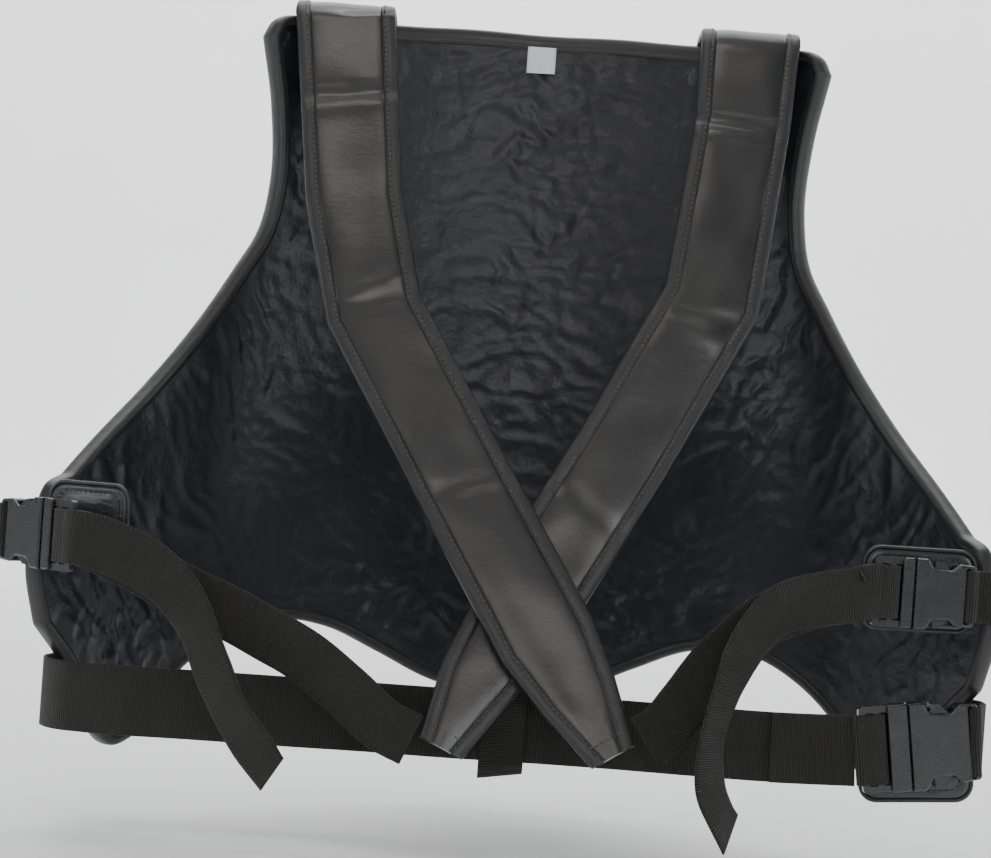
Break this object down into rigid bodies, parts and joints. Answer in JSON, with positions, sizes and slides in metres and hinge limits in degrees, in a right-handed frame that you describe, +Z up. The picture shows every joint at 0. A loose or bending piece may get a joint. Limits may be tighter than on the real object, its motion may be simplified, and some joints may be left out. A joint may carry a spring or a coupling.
{
  "type": "trainer belly pad",
  "caption": "Wearable padded torso protector with wrap-round wings, crossed shoulder straps, webbing harness, waist belt and side-release buckles.",
  "frame": {"origin": "middle of the wearer's torso, level with the tips of the wings", "axes": "+X to the wearer's right, +Y to the wearer's front, +Z up"},
  "size_m": [0.7255, 0.3389, 0.5999],
  "materials": {
    "leather": "glossy coated leather, fine grain",
    "binding": "soft coated leather, stitched",
    "lining": "satin nylon, wrinkled",
    "webbing": "ribbed polypropylene webbing",
    "buckle": "moulded acetal",
    "foam": "closed-cell foam",
    "label": "woven label, blank"
  },
  "bodies": {
    "pad": {"centre_cover": "leather", "chest_foam": "foam", "left_wing_cover": "leather", "left_wing_foam": "foam", "right_wing_cover": "leather", "right_wing_foam": "foam", "lining": "lining", "rim_binding": "binding", "neck_binding": "binding", "care_label": "label", "belly_cover": "leather", "belly_foam": "foam", "left_strap_anchor": "leather", "right_strap_anchor": "leather", "left_harness_at_strap": "webbing", "right_harness_at_strap": "webbing", "left_harness_at_plug": "webbing", "right_harness_at_plug": "webbing", "waist_belt": "webbing", "belt_at_plug": "webbing", "belt_fold": "webbing", "belt_keeper": "webbing", "left_guard": "leather", "left_guard_piping": "binding", "left_socket_loop": "webbing", "left_socket": "buckle", "right_guard": "leather", "right_guard_piping": "binding", "right_socket_loop": "webbing", "right_socket": "buckle", "waist_guard": "leather", "waist_guard_piping": "binding", "waist_socket_loop": "webbing", "waist_socket": "buckle"},
    "shoulder_straps": {"left_strap_face": "leather", "left_strap_backing": "leather", "left_strap_core": "foam", "left_strap_binding": "binding", "right_strap_face": "leather", "right_strap_backing": "leather", "right_strap_core": "foam", "right_strap_binding": "binding"},
    "left_plug": {"left_plug": "buckle", "left_webbing_wrap": "webbing"},
    "left_upper_prong": {"left_upper_prong": "buckle"},
    "left_lower_prong": {"left_lower_prong": "buckle"},
    "right_plug": {"right_plug": "buckle", "right_webbing_wrap": "webbing"},
    "right_upper_prong": {"right_upper_prong": "buckle"},
    "right_lower_prong": {"right_lower_prong": "buckle"},
    "waist_plug": {"waist_plug": "buckle", "waist_webbing_wrap": "webbing"},
    "waist_upper_prong": {"waist_upper_prong": "buckle"},
    "waist_lower_prong": {"waist_lower_prong": "buckle"},
    "left_tail": {"left_webbing_tail": "webbing"},
    "right_tail": {"right_webbing_tail": "webbing"}
  },
  "joints": [
    {"name": "straps_lift", "type": "hinge", "parent": "pad", "child": "shoulder_straps", "pos_m": [0, 0.05, 0.566], "axis": [-1, 0, 0], "range_deg": [0, 4], "deforming": ["left_harness_at_strap", "right_harness_at_strap"]},
    {"name": "left_plug_slide", "type": "slide", "parent": "pad", "child": "left_plug", "axis": [0.766, -0.6428, 0], "range_m": [0, 0.032], "deforming": ["left_upper_prong", "left_lower_prong", "left_harness_at_plug"]},
    {"name": "left_upper_prong_squeeze", "type": "hinge", "parent": "left_plug", "child": "left_upper_prong", "pos_m": [-0.3295, -0.12902, 0.17], "axis": [-0.6428, -0.766, 0], "range_deg": [0, 8], "stiffness_Nm_per_rad": 1},
    {"name": "left_lower_prong_squeeze", "type": "hinge", "parent": "left_plug", "child": "left_lower_prong", "pos_m": [-0.3295, -0.12902, 0.14], "axis": [0.6428, 0.766, 0], "range_deg": [0, 8], "stiffness_Nm_per_rad": 1},
    {"name": "right_plug_slide", "type": "slide", "parent": "pad", "child": "right_plug", "axis": [-0.9903, -0.1392, 0], "range_m": [0, 0.032], "deforming": ["right_upper_prong", "right_lower_prong", "right_harness_at_plug"]},
    {"name": "right_upper_prong_squeeze", "type": "hinge", "parent": "right_plug", "child": "right_upper_prong", "pos_m": [0.282, -0.11902, 0.14], "axis": [0.1392, -0.9903, 0], "range_deg": [0, 8], "stiffness_Nm_per_rad": 1},
    {"name": "right_lower_prong_squeeze", "type": "hinge", "parent": "right_plug", "child": "right_lower_prong", "pos_m": [0.282, -0.11902, 0.17], "axis": [-0.1392, 0.9903, 0], "range_deg": [0, 8], "stiffness_Nm_per_rad": 1},
    {"name": "waist_plug_slide", "type": "slide", "parent": "pad", "child": "waist_plug", "axis": [-0.9848, -0.1035, -0.1392], "range_m": [0, 0.036], "deforming": ["waist_upper_prong", "waist_lower_prong", "belt_at_plug", "belt_fold"]},
    {"name": "waist_upper_prong_squeeze", "type": "hinge", "parent": "waist_plug", "child": "waist_upper_prong", "pos_m": [0.29057, -0.11175, 0.02758], "axis": [0.1045, -0.9945, 0], "range_deg": [0, 8], "stiffness_Nm_per_rad": 1},
    {"name": "waist_lower_prong_squeeze", "type": "hinge", "parent": "waist_plug", "child": "waist_lower_prong", "pos_m": [0.28543, -0.11229, 0.06442], "axis": [-0.1045, 0.9945, 0], "range_deg": [0, 8], "stiffness_Nm_per_rad": 1},
    {"name": "left_tail_swing", "type": "hinge", "parent": "left_plug", "child": "left_tail", "pos_m": [-0.31694, -0.13956, 0.155], "axis": [0, 0, -1], "range_deg": [0, 45]},
    {"name": "right_tail_swing", "type": "hinge", "parent": "right_plug", "child": "right_tail", "pos_m": [0.26576, -0.12131, 0.155], "axis": [0, 0, 1], "range_deg": [0, 45]}
  ]
}
